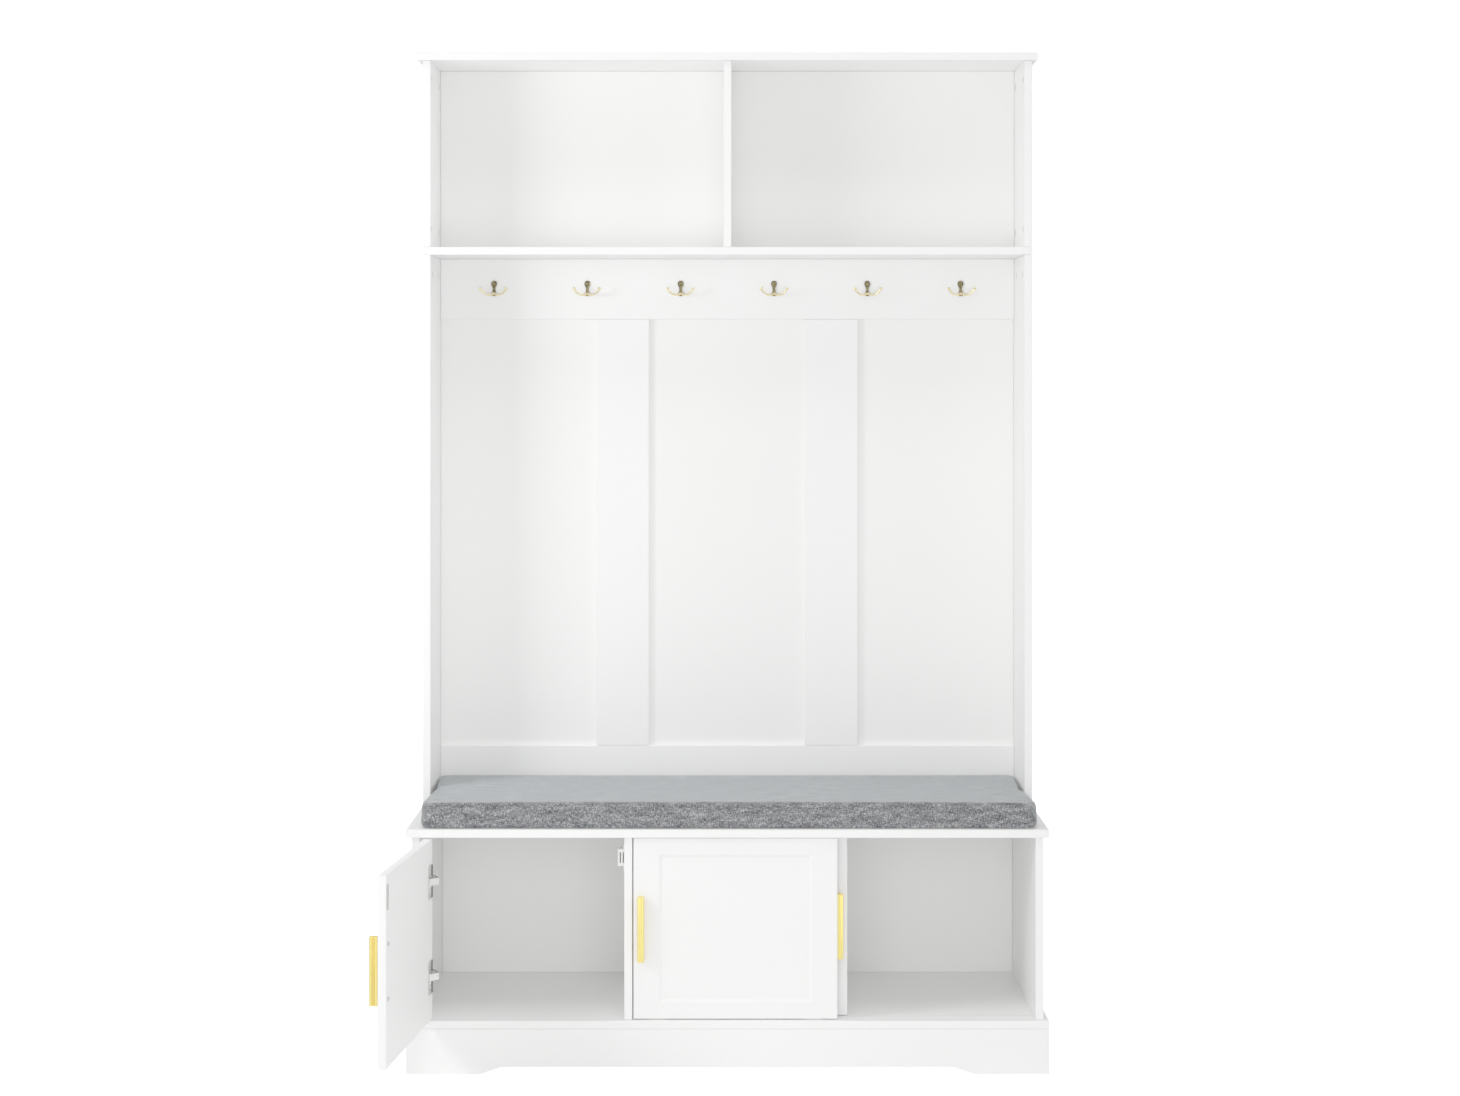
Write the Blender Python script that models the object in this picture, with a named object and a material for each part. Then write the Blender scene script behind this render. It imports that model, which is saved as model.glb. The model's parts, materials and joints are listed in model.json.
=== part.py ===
"""Hall tree: a storage bench with a seat cushion, and a hutch with coat hooks and two cubbies above.

Metres, +Z up. X runs across the furniture, -Y is the front, and the origin is on the floor at the
middle of the bench. The left door stands open and both sliding doors are at their left ends.
"""
import math

import bmesh
import bpy
from mathutils import Matrix, Vector

# ---- Boards and clearances
BOARD = 0.015            # thickness of every structural board
GAP = 0.0003             # left between two pieces that touch
EDGE = 0.0008            # eased edge of a painted board
BACK_THICK = 0.004       # thin back panel of the bench

# ---- Outer sizes
TOP_WIDTH = 1.200        # bench top, hutch top and plinth
CARCASS_WIDTH = 1.180    # over the side panels of bench and hutch
BENCH_DEPTH = 0.410
TOP_OVERHANG = 0.008     # bench top, bench bottom and plinth stand proud at the front
HUTCH_TOP_OVERHANG = 0.006
HUTCH_SETBACK = 0.186    # hutch front behind bench front
HUTCH_INNER_DEPTH = 0.180

# ---- Heights
PLINTH_TOP = 0.0835
BENCH_TOP = 0.455        # upper face of the bench top
SHELF_TOP = 1.551        # upper face of the middle shelf
TREE_TOP = 1.927

# ---- Places worked out from them
FRONT = -BENCH_DEPTH / 2
REAR = BENCH_DEPTH / 2
OUTER = CARCASS_WIDTH / 2
INNER = OUTER - BOARD
FLOOR = PLINTH_TOP + GAP + BOARD                 # upper face of the bench bottom
CEILING = BENCH_TOP - BOARD                      # lower face of the bench top
BACK_FACE = REAR - 2 * BACK_THICK                # face of the thin back panel
HUTCH_FRONT = FRONT + HUTCH_SETBACK
HUTCH_BACK = HUTCH_FRONT + HUTCH_INNER_DEPTH     # face of hook rail, battens and cubby back
SHELF_UNDER = SHELF_TOP - BOARD
TOP_UNDER = TREE_TOP - BOARD

# ---- Bench layout
DIVIDER_LEFT = -0.193    # left face of the divider beside the hinged door
DIVIDER_RIGHT = 0.191    # left face of the divider behind the sliding doors
FOOT_INNER = 0.460       # half the distance between the feet of the plinth
ARCH_HALF = 0.422        # half the flat length of the arch between the feet
ARCH_HEIGHT = 0.0136
BRACE_SETBACK = 0.095    # front end of the plinth's middle brace behind the bench front

# ---- Back of the hutch
BATTEN_THICK = 0.009
BATTEN_WIDTH = 0.105
BATTEN_CENTRE = 0.209
BACK_BOARD = 0.012
RAIL_HEIGHT = 0.121
BOTTOM_RAIL_TOP = 0.561

# ---- Coat hooks; heights are from the middle of the hook's back plate
HOOK_COUNT = 6
HOOK_PITCH = 0.1868
HOOK_ABOVE_RAIL_MIDDLE = 0.0012
HOOK_TOP = 0.0155
HOOK_BOTTOM = -0.0155
HOOK_THICK = 0.003
HOOK_HEAD = 0.0061        # radius of the round head
HOOK_HEAD_HEIGHT = 0.0094
HOOK_SHOULDER = 0.0049    # the round head turns into the neck here
HOOK_WAIST = 0.0029       # half the width of the neck
HOOK_FOOT = 0.0058        # half the width of the foot
PRONG_ROUTE = ((0.0, -0.0023, -0.0090), (0.0035, -0.0075, -0.0118), (0.0090, -0.014, -0.0132),
               (0.0160, -0.020, -0.0118), (0.0218, -0.024, -0.0076), (0.0250, -0.026, -0.0020))
PRONG_RADII = (0.0032, 0.0029, 0.0026, 0.0026, 0.0029, 0.0033)

# ---- Cushion
CUSHION_WIDTH = 1.148
CUSHION_THICK = 0.045
CUSHION_BACK_CLEARANCE = 0.001

# ---- Doors
DOOR_GAP = 0.0025
HINGED_THICK = BOARD
OPEN_ANGLE = math.radians(96)
PIVOT = Vector((-INNER + 0.0069, FRONT - 0.0016, 0.0))    # effective axis of the cup hinges
SLIDING_THICK = 0.012
SLIDING_WIDTH = 0.3808
SLIDING_END_GAP = 0.0022
SLIDING_FLOOR_GAP = 0.002
FRONT_DOOR_SETBACK = 0.001
REAR_DOOR_SETBACK = 0.031
REAR_DOOR_RIGHT = 0.2247  # right edge of the rear sliding door as it stands
PANEL_STILE = 0.048
PANEL_RAIL = 0.031
PANEL_DEPTH = 0.003
PANEL_SLOPE = 0.005
GROOVE_WIDTH = 0.0044
GROOVE_DEPTH = 0.004
RUNNER_LENGTH = 0.030
RUNNER_INSET = 0.045

# ---- Handles
HANDLE_LENGTH = 0.121
HANDLE_WIDTH = 0.012
HANDLE_DEPTH = 0.017
HANDLE_INSET = 0.008     # from the door's free edge to the handle
HANDLE_HOLES = 0.096
HANDLE_FLUTES = 3        # along each side
HANDLE_MARGIN = 0.0012   # plain strip between the door and the first flute
FLUTE = 0.0009
BOLT_HEAD = 0.0042       # radius of the handle bolts' domed heads
STRIKE_WIDTH = 0.014
STRIKE_THICK = 0.0012
STRIKE_HALF_HEIGHT = 0.022

# ---- Concealed hinges
HINGE_HEIGHTS = {"lower": 0.183, "upper": 0.360}
CUP_INSET = 0.0225       # cup centre from the door's edge
CUP_RADIUS = 0.0174
CUP_DEPTH = 0.0116
CUP_WALL = 0.0024
CUP_FLOOR = 0.001
FLANGE_THICK = 0.0012
FLANGE_HALF_WIDTH = 0.018
FLANGE_HALF_HEIGHT = 0.032
FLANGE_CORNER = 0.008
NOSE = Vector((0.0244, 0.0165))       # link pin, from the side panel and the bench front
KNEE = Vector((0.0360, -0.0088))      # bend of the link, the same way
LINK_TIP = Vector((0.0191, -0.0243))  # end of the link inside the cup
LINK_THICK = 0.0022
LINK_HALF_HEIGHT = 0.0065
LINK_EYE = 0.0034                     # radius of the link's eye about the pin
PIN_BORE = 0.0017
PIN_RADIUS = 0.0013
ARM_HALF_HEIGHT = 0.0090
ARM_INSIDE, ARM_OUTSIDE = 0.0036, 0.0109     # the arm's two faces, from the side panel
ARM_REAR = 0.082                      # rear end of the arm, from the bench front
ARM_CRANK = (0.021, 0.034, 0.040)     # bends of the arm, from the bench front
NOSE_RADIUS = 0.004
NOSE_SLOT = (0.008, 0.024)            # cut for the link, from the bench front
SLOT_PLAY = 0.0008                    # between the link and the slot's cheeks
PLATE_THICK = 0.0033
PLATE_DEPTH = (0.033, 0.070)          # front and rear edge of the mounting plate
PLATE_HALF_HEIGHT = 0.020

# ---- Catch and cams
CATCH_HEIGHT = 0.399
CATCH_THICK = 0.0123
CATCH_DEPTH = 0.024
CATCH_HALF_HEIGHT = 0.016
CATCH_EAR_THICK = 0.002
CATCH_EAR_END = 0.023
CAM_RADIUS = 0.0075
CAM_DEPTH = 0.0110
CAM_SETBACK = 0.035      # from the end of a side panel

ROUND = 24               # sides of a turned piece


# ---------------------------------------------------------------- helpers

def clear_scene():
    for obj in list(bpy.data.objects):
        bpy.data.objects.remove(obj)


def material(name, colour, roughness, metallic=0.0):
    mat = bpy.data.materials.new(name)
    mat.use_nodes = True
    shader = mat.node_tree.nodes["Principled BSDF"]
    shader.inputs["Base Color"].default_value = (*colour, 1.0)
    shader.inputs["Roughness"].default_value = roughness
    shader.inputs["Metallic"].default_value = metallic
    return mat


def add_object(name, bm, mat, location=(0, 0, 0), parent=None):
    bmesh.ops.recalc_face_normals(bm, faces=bm.faces)
    mesh = bpy.data.meshes.new(name)
    bm.to_mesh(mesh)
    bm.free()
    mesh.materials.append(mat)
    obj = bpy.data.objects.new(name, mesh)
    obj.location = location
    obj.parent = parent
    bpy.context.scene.collection.objects.link(obj)
    return obj


def add_bevel(obj, width):
    bevel = obj.modifiers.new("eased_edges", "BEVEL")
    bevel.width = width
    bevel.segments = 1
    bevel.limit_method = "ANGLE"


def add_box(bm, x, y, z):
    size = Vector((x[1] - x[0], y[1] - y[0], z[1] - z[0]))
    centre = Vector((x[0] + x[1], y[0] + y[1], z[0] + z[1])) / 2
    place = Matrix.Translation(centre) @ Matrix.Diagonal((*size, 1.0))
    bmesh.ops.create_cube(bm, size=1.0, matrix=place)


def add_cylinder(bm, centre, axis, radius, length, sides=ROUND):
    turn = Vector((0, 0, 1)).rotation_difference(Vector(axis)).to_matrix().to_4x4()
    place = Matrix.Translation(Vector(centre)) @ turn
    bmesh.ops.create_cone(bm, cap_ends=True, segments=sides, radius1=radius, radius2=radius,
                          depth=length, matrix=place)


def add_prism(bm, outline, start, end, to_3d):
    """Extrude a closed outline of 2-D points from start to end; to_3d places (a, b, height)."""
    low = [bm.verts.new(to_3d(a, b, start)) for a, b in outline]
    high = [bm.verts.new(to_3d(a, b, end)) for a, b in outline]
    bm.faces.new(low)
    bm.faces.new(list(reversed(high)))
    for i in range(len(outline)):
        j = (i + 1) % len(outline)
        bm.faces.new((low[i], high[i], high[j], low[j]))


def in_plan(x, y, z):
    return (x, y, z)


def facing_front(x, z, y):
    return (x, y, z)


def facing_side(y, z, x):
    return (x, y, z)


def cut(obj, build, operation="DIFFERENCE"):
    """Boolean obj with a hidden cutter whose mesh build(bm) makes in obj's own space."""
    bm = bmesh.new()
    build(bm)
    tool = add_object(f"{obj.name}_cutter{len(obj.modifiers)}", bm, obj.data.materials[0])
    tool.parent = obj
    tool.hide_render = True
    tool.display_type = "WIRE"
    boolean = obj.modifiers.new("cut", "BOOLEAN")
    boolean.operation = operation
    boolean.object = tool


def board(name, x, y, z, mat, parent=None, edge=EDGE):
    """A board between two X, two Y and two Z planes, given in its parent's space."""
    centre = Vector((x[0] + x[1], y[0] + y[1], z[0] + z[1])) / 2
    half = Vector((x[1] - x[0], y[1] - y[0], z[1] - z[0])) / 2
    bm = bmesh.new()
    add_box(bm, (-half.x, half.x), (-half.y, half.y), (-half.z, half.z))
    obj = add_object(name, bm, mat, centre, parent)
    if edge:
        add_bevel(obj, edge)
    return obj


def drill_cams(obj, side, depths, heights):
    """Blind holes for cam locks, in the inner face of a side panel; side is -1 left, 1 right."""
    def holes(bm):
        for y in depths:
            for z in heights:
                place = Vector((side * (INNER + CAM_DEPTH / 2 - CAM_RADIUS), y, z)) - obj.location
                add_cylinder(bm, place, (1, 0, 0), CAM_RADIUS, CAM_DEPTH + 2 * CAM_RADIUS, ROUND // 2)
    cut(obj, holes)


# ---------------------------------------------------------------- bench

def build_plinth(paint):
    z = (0.0, PLINTH_TOP)
    half = TOP_WIDTH / 2
    front = board("plinth_front", (-half, half), (FRONT - TOP_OVERHANG, FRONT - TOP_OVERHANG + BOARD),
                  z, paint)

    def arch(bm):
        low = -PLINTH_TOP
        outline = [(-FOOT_INNER, low), (-FOOT_INNER, -PLINTH_TOP / 2),
                   (-ARCH_HALF, ARCH_HEIGHT - PLINTH_TOP / 2), (ARCH_HALF, ARCH_HEIGHT - PLINTH_TOP / 2),
                   (FOOT_INNER, -PLINTH_TOP / 2), (FOOT_INNER, low)]
        add_prism(bm, outline, -BOARD, BOARD, facing_front)
    cut(front, arch)
    behind = FRONT - TOP_OVERHANG + BOARD + GAP
    for name, side in (("plinth_left", -1), ("plinth_right", 1)):
        x = sorted((side * half, side * (half - BOARD)))
        board(name, x, (behind, REAR), z, paint)
    inside = half - BOARD - GAP
    board("plinth_back", (-inside, inside), (REAR - BOARD, REAR), z, paint)
    board("plinth_brace", (-BOARD / 2, BOARD / 2), (FRONT + BRACE_SETBACK, REAR - BOARD - GAP), z, paint)


def groove_cutter(centre_z, height, place):
    """Two parallel grooves for the sliding doors' runners, in the space of a board at place."""
    x = (DIVIDER_LEFT + BOARD + GAP, INNER - GAP)

    def grooves(bm):
        for setback in (FRONT_DOOR_SETBACK, REAR_DOOR_SETBACK):
            y = FRONT + setback + SLIDING_THICK / 2
            add_box(bm, (x[0] - place.x, x[1] - place.x),
                    (y - GROOVE_WIDTH / 2 - place.y, y + GROOVE_WIDTH / 2 - place.y),
                    (centre_z - height / 2 - place.z, centre_z + height / 2 - place.z))
    return grooves


def build_bench(paint):
    half = TOP_WIDTH / 2
    y = (FRONT - TOP_OVERHANG, REAR)
    bottom = board("bench_bottom", (-half, half), y, (FLOOR - BOARD, FLOOR), paint)
    cut(bottom, groove_cutter(FLOOR, 2 * GROOVE_DEPTH, bottom.location))
    top = board("bench_top", (-half, half), y, (CEILING, BENCH_TOP), paint)
    cut(top, groove_cutter(CEILING, 2 * GROOVE_DEPTH, top.location))

    z = (FLOOR + GAP, CEILING - GAP)
    cams = (FRONT + 0.096, FRONT + 0.321), (FLOOR + CAM_SETBACK, CEILING - CAM_SETBACK)
    for name, side in (("bench_side_left", -1), ("bench_side_right", 1)):
        panel = board(name, sorted((side * INNER, side * OUTER)), (FRONT, REAR), z, paint)
        drill_cams(panel, side, *cams)
    behind_doors = FRONT + REAR_DOOR_SETBACK + SLIDING_THICK + 0.003
    ends = BACK_FACE - GAP
    board("bench_divider_left", (DIVIDER_LEFT, DIVIDER_LEFT + BOARD), (FRONT, ends), z, paint)
    board("bench_divider_right", (DIVIDER_RIGHT, DIVIDER_RIGHT + BOARD), (behind_doors, ends), z, paint)
    board("bench_back_panel", (GAP - INNER, INNER - GAP), (BACK_FACE, BACK_FACE + BACK_THICK), z, paint)


def build_cushion(fabric):
    half = CUSHION_WIDTH / 2
    low = BENCH_TOP + GAP
    board("seat_cushion", (-half, half), (FRONT + 0.002, HUTCH_BACK - CUSHION_BACK_CLEARANCE),
          (low, low + CUSHION_THICK), fabric, edge=0.006)


# ---------------------------------------------------------------- hutch

def build_hutch(paint):
    lower = (BENCH_TOP + GAP, SHELF_UNDER - GAP)
    upper = (SHELF_TOP + GAP, TOP_UNDER - GAP)
    y = (HUTCH_FRONT, REAR)
    upper_cams = (HUTCH_FRONT + 0.024, HUTCH_FRONT + 0.158), (SHELF_TOP + 0.036, TOP_UNDER - 0.034)
    lower_cams = (HUTCH_FRONT + 0.040, HUTCH_FRONT + 0.140), (SHELF_UNDER - 0.036,)
    for word, side in (("left", -1), ("right", 1)):
        x = sorted((side * INNER, side * OUTER))
        drill_cams(board(f"lower_side_{word}", x, y, lower, paint), side, *lower_cams)
        drill_cams(board(f"upper_side_{word}", x, y, upper, paint), side, *upper_cams)
    board("middle_shelf", (-OUTER, OUTER), y, (SHELF_UNDER, SHELF_TOP), paint)
    half = TOP_WIDTH / 2
    board("top_board", (-half, half), (HUTCH_FRONT - HUTCH_TOP_OVERHANG, REAR), (TOP_UNDER, TREE_TOP), paint)

    inside = (GAP - INNER, INNER - GAP)
    back = (HUTCH_BACK, HUTCH_BACK + BACK_BOARD)
    board("upper_back_panel", inside, back, upper, paint)
    board("upper_divider", (-BOARD / 2, BOARD / 2), (HUTCH_FRONT, HUTCH_BACK - GAP), upper, paint)

    face = HUTCH_BACK + BATTEN_THICK
    board("hutch_back_panel", inside, (face + GAP, face + GAP + BACK_BOARD), lower, paint)
    rail_low = SHELF_UNDER - RAIL_HEIGHT
    front = (HUTCH_BACK, face)
    board("hook_rail", inside, front, (rail_low, SHELF_UNDER - GAP), paint)
    board("bottom_rail", inside, front, (BENCH_TOP + GAP, BOTTOM_RAIL_TOP), paint)
    for name, centre in (("batten_left", -BATTEN_CENTRE), ("batten_right", BATTEN_CENTRE)):
        board(name, (centre - BATTEN_WIDTH / 2, centre + BATTEN_WIDTH / 2), front,
              (BOTTOM_RAIL_TOP + GAP, rail_low - GAP), paint)


# ---------------------------------------------------------------- coat hooks

def hook_half_width(z):
    """Half the width of a hook's back plate: a round head, a slim neck and a flared foot."""
    if z > HOOK_SHOULDER:
        return math.sqrt(max(HOOK_HEAD ** 2 - (z - HOOK_HEAD_HEIGHT) ** 2, 0.0))
    if z > 0:
        shoulder = math.sqrt(HOOK_HEAD ** 2 - (HOOK_HEAD_HEIGHT - HOOK_SHOULDER) ** 2)
        return HOOK_WAIST + (shoulder - HOOK_WAIST) * (z / HOOK_SHOULDER) ** 2
    return HOOK_WAIST + (HOOK_FOOT - HOOK_WAIST) * (z / HOOK_BOTTOM) ** 3


def hook_plate(bm):
    steps = 16
    heights = [HOOK_BOTTOM + (HOOK_TOP - HOOK_BOTTOM) * math.sin(i / steps * math.pi / 2) for i in range(steps)]
    right = [(hook_half_width(z), z) for z in heights]
    left = [(-x, z) for x, z in reversed(right)]
    add_prism(bm, right + [(0.0, HOOK_TOP)] + left, -HOOK_THICK, 0.0, facing_front)


def hook_prong(bm, side):
    """A tapering prong that leaves the plate's foot, sweeps out sideways and turns up."""
    sides, per_span = 8, 2
    points = [Vector((side * x, y, z)) for x, y, z in PRONG_ROUTE]

    def spline(values, t):
        i = min(int(t), len(values) - 2)
        f = t - i
        a, b = values[max(i - 1, 0)], values[i]
        c, d = values[i + 1], values[min(i + 2, len(values) - 1)]
        return (b * 2 + (c - a) * f + (a * 2 - b * 5 + c * 4 - d) * f ** 2
                + (b * 3 - a - c * 3 + d) * f ** 3) * 0.5

    stations = [i / per_span for i in range(per_span * (len(points) - 1) + 1)]
    rings = [(spline(points, t), spline(PRONG_RADII, t)) for t in stations]
    tip, tip_radius = rings[-1]
    forward = (tip - rings[-2][0]).normalized()
    for angle in (35, 65):
        turn = math.radians(angle)
        rings.append((tip + forward * tip_radius * math.sin(turn), tip_radius * math.cos(turn)))
    loops = []
    for i, (centre, radius) in enumerate(rings):
        ahead = rings[min(i + 1, len(rings) - 1)][0] - rings[max(i - 1, 0)][0]
        across = ahead.normalized().cross(Vector((0, 1, 0.3)).normalized()).normalized()
        up = ahead.normalized().cross(across)
        spin = [2 * math.pi * k / sides for k in range(sides)]
        loops.append([bm.verts.new(centre + (across * math.cos(s) + up * math.sin(s)) * radius) for s in spin])
    for ring, after in zip(loops, loops[1:]):
        for k in range(sides):
            bm.faces.new((ring[k], ring[(k + 1) % sides], after[(k + 1) % sides], after[k]))
    bm.faces.new(list(reversed(loops[0])))
    bm.faces.new(loops[-1])


def build_hooks(brass):
    bm = bmesh.new()
    hook_plate(bm)
    pattern = add_object("coat_hook_pattern", bm, brass)
    for side in (-1, 1):
        cut(pattern, lambda bm, side=side: hook_prong(bm, side), "UNION")
    bpy.context.view_layer.update()
    evaluated = pattern.evaluated_get(bpy.context.evaluated_depsgraph_get())
    mesh = bpy.data.meshes.new_from_object(evaluated)
    for tool in list(pattern.children):
        bpy.data.objects.remove(tool)
    bpy.data.objects.remove(pattern)
    height = SHELF_UNDER - RAIL_HEIGHT / 2 + HOOK_ABOVE_RAIL_MIDDLE
    for i in range(HOOK_COUNT):
        hook = bpy.data.objects.new(f"coat_hook_{i + 1}", mesh)
        hook.location = ((i - (HOOK_COUNT - 1) / 2) * HOOK_PITCH, HUTCH_BACK - GAP, height)
        bpy.context.scene.collection.objects.link(hook)


# ---------------------------------------------------------------- doors

def recess_panel(door, width, height, thick):
    """Routed panel in a door's front face, with sloping sides."""
    def frustum(bm):
        outer = width / 2 - PANEL_STILE, height / 2 - PANEL_RAIL
        face = -thick / 2
        above, below = face - PANEL_DEPTH, face + PANEL_DEPTH
        loops = []
        for y, grow in ((above, PANEL_SLOPE), (below, -PANEL_SLOPE)):
            a, b = outer[0] + grow, outer[1] + grow
            loops.append([bm.verts.new((x, y, z)) for x, z in ((-a, -b), (a, -b), (a, b), (-a, b))])
        bm.faces.new(loops[0])
        bm.faces.new(list(reversed(loops[1])))
        for k in range(4):
            n = (k + 1) % 4
            bm.faces.new((loops[0][k], loops[1][k], loops[1][n], loops[0][n]))
    cut(door, frustum)


def handle_outline():
    """Section of the bar handle, across (a) and out from the door (b): fluted on three sides."""
    half, deep = HANDLE_WIDTH / 2, HANDLE_DEPTH
    side = [(half, 0.0)]
    pitch = (deep - 2.5 * HANDLE_MARGIN) / HANDLE_FLUTES
    for k in range(HANDLE_FLUTES):
        start = HANDLE_MARGIN + k * pitch
        side += [(half, start + HANDLE_MARGIN / 2), (half - FLUTE, start + pitch / 2),
                 (half, start + pitch - HANDLE_MARGIN / 2)]
    side.append((half - HANDLE_MARGIN, deep))
    face = [(half / 2, deep), (half / 4, deep - FLUTE * 0.6), (0.0, deep)]
    right = side + face
    left = [(-a, b) for a, b in reversed(right[:-1])]
    return right + left


def add_handle(name, x, face, z, mat, parent=None):
    """Bar handle standing on a door's front face; x is its centre line."""
    bm = bmesh.new()
    outline = [(a, -b) for a, b in handle_outline()]
    add_prism(bm, outline, -HANDLE_LENGTH / 2, HANDLE_LENGTH / 2, in_plan)
    add_object(name, bm, mat, (x, face - GAP, z), parent)


def add_runner(name, x, y, z, up, mat, parent):
    """Nylon runner under (up = -1) or over (up = 1) a sliding door, with a tongue in the groove."""
    foot, foot_thick, tongue, reach = 0.008, 0.0012, 0.0034, 0.0052
    outline = [(-foot / 2, 0.0), (foot / 2, 0.0), (foot / 2, up * foot_thick), (tongue / 2, up * foot_thick),
               (tongue / 2, up * reach), (-tongue / 2, up * reach), (-tongue / 2, up * foot_thick),
               (-foot / 2, up * foot_thick)]
    bm = bmesh.new()
    add_prism(bm, outline, -RUNNER_LENGTH / 2, RUNNER_LENGTH / 2, facing_side)
    add_object(name, bm, mat, (x, y, z), parent)


def build_sliding_door(word, left, setback, handle_side, paint, gold, nylon):
    """One sliding door with its handle and four runners, under an empty at its left edge."""
    slide = bpy.data.objects.new(f"{word}_door_slide", None)
    slide.location = (left, FRONT + setback, 0.0)
    bpy.context.scene.collection.objects.link(slide)
    z = (FLOOR + SLIDING_FLOOR_GAP, CEILING - SLIDING_FLOOR_GAP)
    door = board(f"{word}_sliding_door", (0.0, SLIDING_WIDTH), (0.0, SLIDING_THICK), z, paint, slide)
    recess_panel(door, SLIDING_WIDTH, z[1] - z[0], SLIDING_THICK)
    inset = HANDLE_INSET + HANDLE_WIDTH / 2
    x = inset if handle_side < 0 else SLIDING_WIDTH - inset
    add_handle(f"{word}_door_handle", x, 0.0, (z[0] + z[1]) / 2, gold, slide)
    for side, x in (("left", RUNNER_INSET), ("right", SLIDING_WIDTH - RUNNER_INSET)):
        y = SLIDING_THICK / 2
        add_runner(f"{word}_bottom_runner_{side}", x, y, z[0] - GAP, -1, nylon, slide)
        add_runner(f"{word}_top_runner_{side}", x, y, z[1] + GAP, 1, nylon, slide)


def build_hinged_door(paint, gold, steel, nickel):
    """The left door, modelled shut in the pivot's space; the pivot then swings it open."""
    pivot = bpy.data.objects.new("door_pivot", None)
    pivot.location = PIVOT
    pivot.rotation_euler = (0.0, 0.0, -OPEN_ANGLE)
    bpy.context.scene.collection.objects.link(pivot)

    left = -INNER + DOOR_GAP - PIVOT.x
    right = DIVIDER_LEFT - DOOR_GAP - PIVOT.x
    face = FRONT - PIVOT.y
    back = face + HINGED_THICK
    z = (FLOOR + DOOR_GAP, CEILING - DOOR_GAP)
    middle = (z[0] + z[1]) / 2
    door = board("hinged_door", (left, right), (face, back), z, paint, pivot)
    recess_panel(door, right - left, z[1] - z[0], HINGED_THICK)
    cup_x = left + CUP_INSET

    def bores(bm):
        for height in HINGE_HEIGHTS.values():
            place = Vector((cup_x, back, height)) - door.location
            add_cylinder(bm, place, (0, 1, 0), CUP_RADIUS + 2 * GAP, 2 * (CUP_DEPTH + 2 * GAP))
    cut(door, bores)

    handle_x = right - HANDLE_INSET - HANDLE_WIDTH / 2
    add_handle("hinged_door_handle", handle_x, face, middle, gold, pivot)
    for word, side in (("lower", -1), ("upper", 1)):
        bm = bmesh.new()
        bmesh.ops.create_uvsphere(bm, u_segments=ROUND // 2, v_segments=8, radius=BOLT_HEAD)
        bmesh.ops.bisect_plane(bm, geom=bm.verts[:] + bm.edges[:] + bm.faces[:], plane_co=(0, 0.0, 0),
                               plane_no=(0, -1, 0), clear_outer=True)
        bmesh.ops.holes_fill(bm, edges=[e for e in bm.edges if e.is_boundary])
        bmesh.ops.scale(bm, vec=(1.0, 0.5, 1.0), verts=bm.verts)
        add_object(f"handle_screw_{word}", bm, steel,
                   (handle_x, back + GAP, middle + side * HANDLE_HOLES / 2), pivot)
    board("strike_plate", (right - 0.001 - STRIKE_WIDTH, right - 0.001), (back + GAP, back + GAP + STRIKE_THICK),
          (CATCH_HEIGHT - STRIKE_HALF_HEIGHT, CATCH_HEIGHT + STRIKE_HALF_HEIGHT), nickel, pivot, edge=0.0003)
    for word, height in HINGE_HEIGHTS.items():
        add_cup(f"hinge_cup_{word}", (cup_x, back + GAP, height), nickel, pivot)


def add_cup(name, place, nickel, pivot):
    """Hinge cup: an eight-sided flange on the door's inner face over a round cup in its bore."""
    wide, tall, corner = FLANGE_HALF_WIDTH, FLANGE_HALF_HEIGHT, FLANGE_CORNER
    outline = [(wide, -tall + corner), (wide, tall - corner), (wide - corner, tall), (corner - wide, tall),
               (-wide, tall - corner), (-wide, corner - tall), (corner - wide, -tall), (wide - corner, -tall)]
    bm = bmesh.new()
    add_prism(bm, outline, 0.0, FLANGE_THICK, facing_front)
    cup = add_object(name, bm, nickel, place, pivot)
    cut(cup, lambda bm: add_cylinder(bm, (0, (FLANGE_THICK / 2 - CUP_DEPTH) / 2, 0), (0, 1, 0), CUP_RADIUS,
                                     CUP_DEPTH + FLANGE_THICK / 2), "UNION")
    cut(cup, lambda bm: add_cylinder(bm, (0, 0, 0), (0, 1, 0), CUP_RADIUS - CUP_WALL,
                                     2 * (CUP_DEPTH - CUP_FLOOR)))


# ---------------------------------------------------------------- hinge arms, links and catch

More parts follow.
